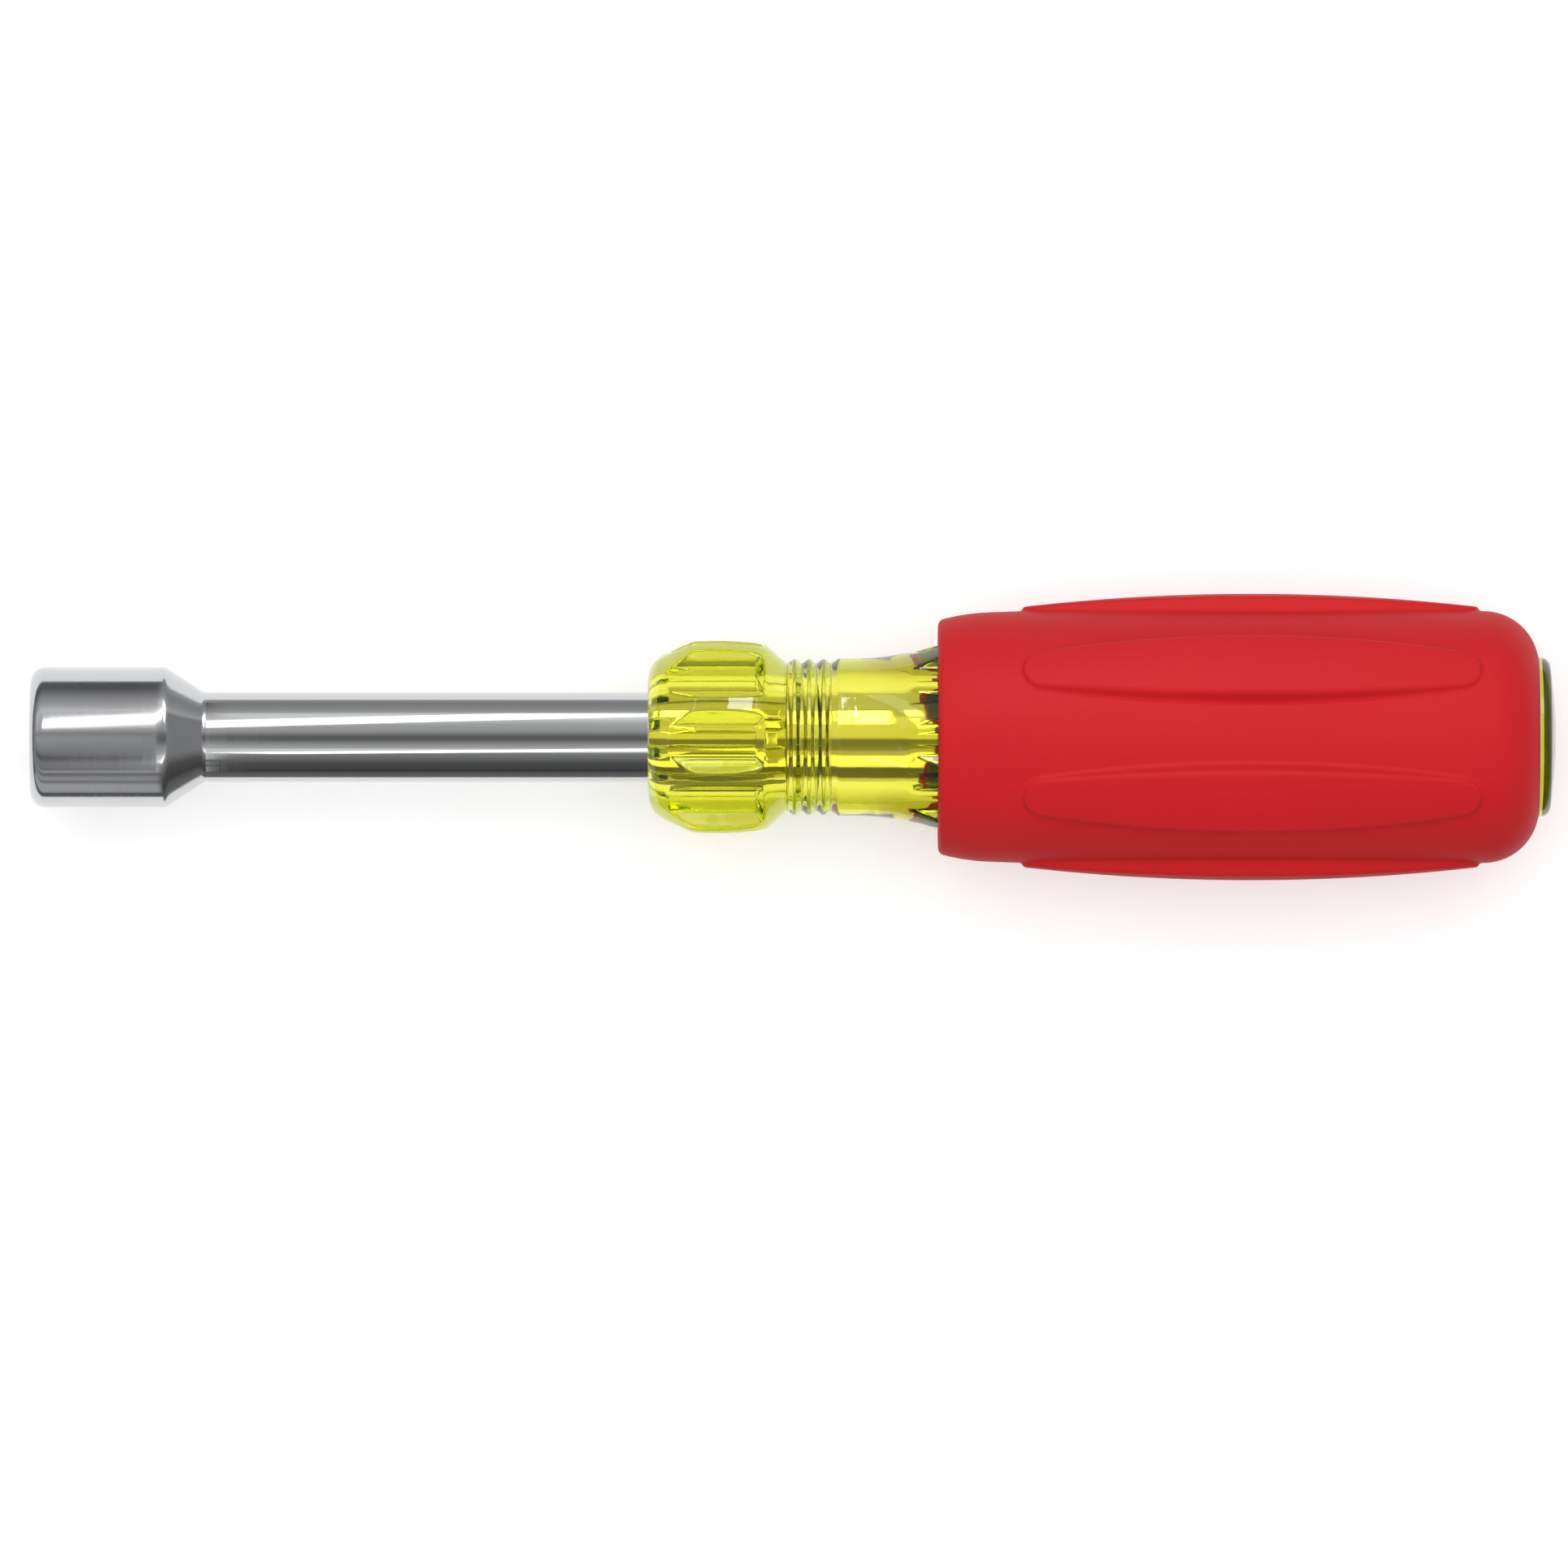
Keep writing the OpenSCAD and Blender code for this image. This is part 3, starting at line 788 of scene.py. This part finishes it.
# %% Make the six pads
def add_pad(bm, degrees):
    """Adds a pad whose middle lies at an angle from +Z towards +Y."""
    touch = (PAD_SIDE - PAD_EDGE) * touch_share
    tip = pad_tip - PAD_EDGE
    start = math.acos((touch - tip_x) / tip)
    ends = [tip_x + tip * math.cos(start * (1 - i / END_ROWS)) for i in range(1, END_ROWS + 1)]
    middle = [touch * (2 * i / ALONG - 1) for i in range(ALONG + 1)]
    rows = [-x for x in reversed(ends)] + middle + ends
    grid = bmesh.ops.create_grid(bm, x_segments=len(rows) - 1, y_segments=ACROSS, size=1.0)
    grid = grid["verts"]
    for vert in grid:
        x = rows[round((vert.co.x + 1) / 2 * (len(rows) - 1))]
        vert.co = (x, math.sin(math.pi / 2 * vert.co.y) * pad_half(x, PAD_EDGE), 0.0)
    bmesh.ops.remove_doubles(bm, verts=grid, dist=MERGE)
    made = [v for v in grid if v.is_valid]
    loop = list({e for v in made for e in v.link_edges if e.is_boundary})
    # the depth of a fresh row only marks its step until all rows are there
    for level in range(1, len(RIM) + 1):
        fresh = bmesh.ops.extrude_edge_only(bm, edges=loop)["geom"]
        verts = [g for g in fresh if isinstance(g, bmesh.types.BMVert)]
        for vert in verts:
            vert.co.z = -level
        made += verts
        loop = [
            g for g in fresh
            if isinstance(g, bmesh.types.BMEdge) and all(round(-v.co.z) == level for v in g.verts)
        ]
    bmesh.ops.edgeloop_fill(bm, edges=loop)
    for vert in made:
        level = round(-vert.co.z)
        x, y = vert.co.x, vert.co.y
        out, fall = RIM[level - 1] if level else (0.0, 0.0)
        side = pad_out(x, y, PAD_EDGE) * out if level else Vector((0.0, 0.0))
        height = pad_height(x)
        x, y = x + side.x, y + side.y
        radius = barrel_r(PAD_X + x) + height * (1 - fall)
        vert.co = (PAD_X + x, y, math.sqrt(radius**2 - y * y))
    bmesh.ops.rotate(
        bm, cent=ORIGIN, matrix=Matrix.Rotation(math.radians(-degrees), 3, "X"), verts=made
    )
    # only the pad's own faces, because the sleeve's already point outwards
    pad_faces = list({f for v in made for f in v.link_faces})
    bmesh.ops.recalc_face_normals(bm, faces=pad_faces)
    return made


for pad in range(PADS):
    pad_points = add_pad(grip_bm, PAD_TURN + 360 / PADS * (pad + 0.5))
print("a pad has", len(pad_points), "points")
print("sleeve and pads hold", round(grip_bm.calc_volume(signed=True)), "cubic millimetres")
grip = finished(
    grip_bm, "moulded_soft_grip", "cushion_grip", red_vinyl, sharp_from=60.0
)
grip.data.materials.append(pale_cement)

# %% [markdown]
# ## Floor and room
# The tool lies on a plain white floor, on two of its pads, in a white room. Paper under an even
# light comes out pale grey, so the floor adds a little light of its own. It shows only to the
# camera, in what metal mirrors and through clear plastic, and never falls on the tool. The room
# works in the same way: seen, it is white, but what it throws on the tool is less than half.

# %% Floor
FLOOR_Z = -0.01704  # metres, like all places of the studio
TOOL_MIDDLE = 0.093
PAPER_HALF = 0.8


def in_plain_sight(tree):
    """Is 1 to the camera and in what metal and clear plastic show, and 0 to other light."""
    path = add_node(tree, "ShaderNodeLightPath")
    seen = path.outputs["Is Camera Ray"]
    for ray in ("Is Glossy Ray", "Is Transmission Ray"):
        either = add_node(
            tree, "ShaderNodeMath", {0: seen, 1: path.outputs[ray]}, {"operation": "MAXIMUM"}
        )
        seen = either.outputs[0]
    return seen


def white_floor():
    """White paper, clean to the eye but for the tool's soft shadow."""
    material, tree = new_material("white_paper_floor")
    paper = add_node(tree, "ShaderNodeBsdfDiffuse", Color=linear("E7E7E7"))
    glow = add_node(
        tree, "ShaderNodeEmission", {"Strength": in_plain_sight(tree)}, Color=linear("ADADAD")
    )
    both = add_node(tree, "ShaderNodeAddShader", {0: paper.outputs[0], 1: glow.outputs[0]})
    # from below the paper is clear, so that the tool's underside can be looked at
    side = add_node(tree, "ShaderNodeNewGeometry")
    clear = add_node(tree, "ShaderNodeBsdfTransparent")
    sided = add_node(
        tree, "ShaderNodeMixShader",
        {0: side.outputs["Backfacing"], 1: both.outputs[0], 2: clear.outputs[0]},
    )
    add_node(tree, "ShaderNodeOutputMaterial", {"Surface": sided.outputs[0]})
    return material


def staged(bm, name, material):
    """Makes a piece of the studio, which isn't part of the tool."""
    mesh = bpy.data.meshes.new(name)
    bm.to_mesh(mesh)
    bm.free()
    mesh.materials.append(material)
    panel = bpy.data.objects.new(name, mesh)
    bpy.context.scene.collection.objects.link(panel)
    return panel


floor_bm = bmesh.new()
bmesh.ops.create_grid(floor_bm, x_segments=1, y_segments=1, size=PAPER_HALF)
bmesh.ops.translate(floor_bm, vec=(TOOL_MIDDLE, 0.0, FLOOR_Z), verts=floor_bm.verts)
staged(floor_bm, "floor", white_floor())
print("the floor lies", round(-FLOOR_Z / MILLIMETRE, 2), "mm below the axis")

# %% Room
ROOM_LIGHT = 0.42  # strength of the room's light on the tool, where 1 is white
world = bpy.data.worlds.new("soft_studio")
bpy.context.scene.world = world
world.use_nodes = True
room = world.node_tree
room.nodes.clear()
room_strength = add_node(
    room, "ShaderNodeMapRange", {"Value": in_plain_sight(room)}, To_Min=ROOM_LIGHT, To_Max=1.0
)
room_glow = add_node(
    room, "ShaderNodeBackground", {"Strength": room_strength.outputs["Result"]},
    Color=linear("FFFFFF"),
)
add_node(room, "ShaderNodeOutputWorld", {"Surface": room_glow.outputs[0]})

# %% [markdown]
# ## Cards for the chrome
# Chrome in a white room would be white all over. A photographer stands grey and dark cards
# round it, so that bands draw its roundness. Twelve cards do that here. The tube and the handle
# have two beside them, two flat on the floor and one overhead, with a dark middle where the
# camera would show. The wider socket has five of its own, and one card stands beyond each end.
# Far is the side of +Y, at the top of the picture, and near is the other one. The cards throw
# no light on the tool. They only show in what the metal mirrors and the clear core bends, so
# each has a row of greys for the one and a row for the other.

# %% Cards
def card_paint(name, stops, wide):
    """Paints a card across its width, by stops of a place, its light in metal and in plastic."""
    material, tree = new_material(name)
    place_node = add_node(tree, "ShaderNodeTexCoord")
    split = add_node(tree, "ShaderNodeSeparateXYZ", {"Vector": place_node.outputs["Object"]})
    along = add_node(
        tree, "ShaderNodeMapRange", {"Value": split.outputs["Y"]},
        From_Min=-wide / 2, From_Max=wide / 2,
    )
    ramps = []
    for column in (1, 2):
        ramp = add_node(tree, "ShaderNodeValToRGB", {"Fac": along.outputs["Result"]})
        while len(ramp.color_ramp.elements) < len(stops):
            ramp.color_ramp.elements.new(0.5)
        for element, stop in zip(ramp.color_ramp.elements, stops):
            element.position = stop[0]
            element.color = (stop[column], stop[column], stop[column], 1.0)
        ramps.append(ramp)
    path = add_node(tree, "ShaderNodeLightPath")
    shade = add_node(
        tree, "ShaderNodeMix",
        {
            "Factor": path.outputs["Is Transmission Ray"],
            "A": ramps[0].outputs["Color"],
            "B": ramps[1].outputs["Color"],
        },
        {"data_type": "RGBA"},
    )
    glow = add_node(tree, "ShaderNodeEmission", {"Color": shade.outputs["Result"]})
    add_node(tree, "ShaderNodeOutputMaterial", {"Surface": glow.outputs[0]})
    return material


def card(name, lower_edge, upper_edge, stops, span, turn=0.0):
    """A card between two edges, each at [y, z], along a span of x from the tool's middle."""
    long = span[1] - span[0]
    across = Vector((0.0, upper_edge[0] - lower_edge[0], upper_edge[1] - lower_edge[1]))
    middle = Vector(
        (sum(span) / 2, (upper_edge[0] + lower_edge[0]) / 2, (upper_edge[1] + lower_edge[1]) / 2)
    )
    about_z = Matrix.Rotation(math.radians(turn), 3, "Z")
    bm = bmesh.new()
    # a grid of size 0.5 is 1 m wide, so the scale is in metres
    bmesh.ops.create_grid(bm, x_segments=1, y_segments=1, size=0.5)
    bmesh.ops.scale(bm, vec=(long, across.length, 1.0), verts=bm.verts)
    panel = staged(bm, name, card_paint(name, stops, across.length))
    panel.location = about_z @ middle + Vector((TOOL_MIDDLE, 0.0, 0.0))
    panel.rotation_euler = (math.atan2(across.z, across.y), 0.0, math.radians(turn))
    panel.visible_camera = False
    panel.visible_diffuse = False
    panel.visible_shadow = False
    print(name, "is", round(across.length, 3), "m wide")


def towards(degrees, distance):
    """Place [y, z] at an angle from straight up towards +Y, and a distance from the axis."""
    turn = math.radians(degrees)
    return (distance * math.sin(turn), distance * math.cos(turn))


# %% Cards of the tube and the handle
FOOT_Z = FLOOR_Z + 0.0005  # flat cards lie just above the paper
SIDE, OVER = 0.14, 0.3  # distances of the cards from the axis
handle_span = (-0.074, 1.5)  # from the socket's cone on
card(
    "card_far", (SIDE, FLOOR_Z), (SIDE, 0.075),
    ((0.0, 0.33, 1.1), (0.35, 0.36, 1.1), (0.8, 0.5, 1.15), (1.0, 0.75, 1.2)), handle_span,
)
card(
    "card_near", (-SIDE, FLOOR_Z), (-SIDE, 0.165),
    (
        (0.0, 0.07, 0.3), (0.38, 0.12, 0.25), (0.45, 0.16, 2.6), (0.62, 0.24, 2.6),
        (1.0, 0.36, 2.6),
    ),
    handle_span,
)
card(
    "foot_far", (0.055, FOOT_Z), (SIDE, FOOT_Z),
    ((0.0, 0.45, 1.05), (1.0, 0.33, 1.0)), handle_span,
)
card(
    "foot_near", (-SIDE, FOOT_Z), (-0.03, FOOT_Z),
    ((0.0, 0.07, 1.2), (1.0, 0.2, 1.2)), handle_span,
)
card(
    "card_over", towards(-30, OVER), towards(44, OVER),
    (
        (0.0, 0.66, 0.6), (0.2, 0.42, 0.42), (0.34, 0.17, 0.42), (0.42, 0.17, 1.6),
        (0.48, 0.25, 1.6), (0.58, 0.48, 1.6), (0.8, 0.6, 1.6), (1.0, 0.85, 1.6),
    ),
    (-0.079, 1.5),
)

# %% Cards of the socket
socket_span = (-1.5, -0.074)
card(
    "socket_card_far", (SIDE, FLOOR_Z), (SIDE, 0.14),
    (
        (0.0, 0.13, 1.0), (0.2, 0.14, 1.0), (0.4, 0.3, 1.0), (0.77, 0.56, 1.0),
        (1.0, 0.75, 1.0),
    ),
    socket_span,
)
card(
    "socket_card_near", (-SIDE, FLOOR_Z), (-SIDE, 0.085),
    (
        (0.0, 0.54, 1.0), (0.36, 0.54, 1.0), (0.46, 0.2, 1.0), (0.6, 0.47, 1.0), (0.7, 0.45, 1.0),
        (0.85, 0.22, 1.0), (1.0, 0.21, 1.0),
    ),
    socket_span,
)
card(
    "socket_foot_far", (0.094, FOOT_Z), (SIDE, FOOT_Z),
    ((0.0, 0.13, 1.0), (1.0, 0.13, 1.0)), socket_span,
)
card(
    "socket_foot_near", (-SIDE, FOOT_Z), (-0.049, FOOT_Z),
    ((0.0, 0.54, 1.0), (0.45, 0.54, 1.0), (0.6, 0.1, 1.0), (1.0, 0.1, 1.0)), socket_span,
)
card(
    "socket_card_over", towards(-58, OVER), towards(44, OVER),
    (
        (0.0, 0.22, 1.0), (0.2, 0.32, 1.0), (0.285, 0.12, 1.0), (0.35, 0.28, 1.0),
        (0.53, 0.5, 1.0), (0.59, 0.34, 1.0), (0.65, 0.6, 1.0), (1.0, 0.78, 1.0),
    ),
    (-1.5, -0.079),
)

# %% Cards at the two ends
end_stops = ((0.0, 0.12, 1.0), (0.3, 0.2, 1.0), (0.5, 0.3, 1.1), (1.0, 0.36, 1.1))
end_span = (-0.25, 0.25)  # a quarter turn lays this across the tool
card("card_handle_end", (0.30, FLOOR_Z), (0.30, 0.30), end_stops, end_span, turn=-90)
card("card_socket_end", (0.26, FLOOR_Z), (0.26, 0.09), end_stops, end_span, turn=90)

# %% [markdown]
# ## Lamps
# One broad lamp hangs high over the tool, a little to its far side. It gives the colours and
# the soft shadow, and no metal shows it. The other four light nothing and only show as
# highlights: two narrow strips draw bright lines along socket and tube, and two small windows
# give the knob and the rear of the handle the wet shine of polished plastic.

# %% Lamps
def lamp(name, start, end, wide, power, mirrored=True):
    """A soft strip of light from start to end; mirrored means that it only makes highlights."""
    start, end = Vector(start), Vector(end)
    light = bpy.data.lights.new(name, "AREA")
    light.shape = "RECTANGLE"
    light.size, light.size_y = (end - start).length, wide
    light.energy = power
    holder = bpy.data.objects.new(name, light)
    bpy.context.scene.collection.objects.link(holder)
    along = (end - start).normalized()
    middle = (start + end) / 2
    # the lamp's back points away from the tool's axis, so that its face shines on it
    back = Vector((0.0, middle.y, middle.z))
    back = (back - back.dot(along) * along).normalized()
    sides = Matrix((along, back.cross(along), back)).transposed()
    holder.matrix_world = Matrix.Translation(middle) @ sides.to_4x4()
    holder.visible_camera = False
    holder.visible_glossy = mirrored
    holder.visible_diffuse = not mirrored
    print(name, "is", round(light.size, 3), "by", wide, "m")


def over_tool(x, degrees, distance):
    """Place at x along the tool, at an angle and a distance as for the cards."""
    return (x, *towards(degrees, distance))


lamp("strip_far", over_tool(-0.02, 14, 0.2), over_tool(0.08, 64, 0.2), 0.030, 0.034)
lamp("strip_near", over_tool(0.022, -42, 0.2), over_tool(0.085, -31, 0.2), 0.018, 0.008)
lamp("window_knob", over_tool(0.119, 28, 0.2), over_tool(0.119, 58, 0.2), 0.036, 0.12)
lamp("window_rear", over_tool(0.215, 8, 0.3), over_tool(0.215, 60, 0.3), 0.06, 0.1)
lamp("overhead", over_tool(-0.7, 11, 1.3), over_tool(0.9, 11, 1.3), 1.6, 14.2, mirrored=False)

# %% [markdown]
# ## The camera
# The camera looks straight down on the tool, from far away and through a long lens, as for a
# catalogue. The photograph is 1932 pixels wide and shows 9.98 pixels to the millimetre, with
# the middle of the image 5.8 mm off the tool's axis.

# %% Camera
PHOTO_WIDE, PIXELS_PER_MM = 1932, 9.98
CAMERA_HEIGHT, CAMERA_OFF_AXIS = 3.0, -0.0058
SENSOR = 36.0
frame_wide = PHOTO_WIDE / PIXELS_PER_MM * MILLIMETRE
camera_data = bpy.data.cameras.new("camera")
camera_data.sensor_width = SENSOR
camera_data.lens = SENSOR * CAMERA_HEIGHT / frame_wide
camera_data.clip_end = 20.0
camera = bpy.data.objects.new("camera", camera_data)
camera.location = (TOOL_MIDDLE, CAMERA_OFF_AXIS, CAMERA_HEIGHT)
bpy.context.scene.collection.objects.link(camera)
bpy.context.scene.camera = camera
print("lens in millimetres:", round(camera_data.lens, 1))

# %% [markdown]
# ## How the picture is worked out
# Colours are shown plainly, as they are written. In clear plastic light is thrown back from
# wall to wall many times before it comes out. A ray that is given up too early leaves a black
# line in the core, so more of these bounces are followed than Blender follows by itself.

# %% View and bounces
bpy.context.scene.view_settings.view_transform = "Standard"
bounces = bpy.context.scene.cycles
bounces.max_bounces = 24
bounces.glossy_bounces = 16
bounces.transmission_bounces = 16
print("bounces followed:", bounces.max_bounces)
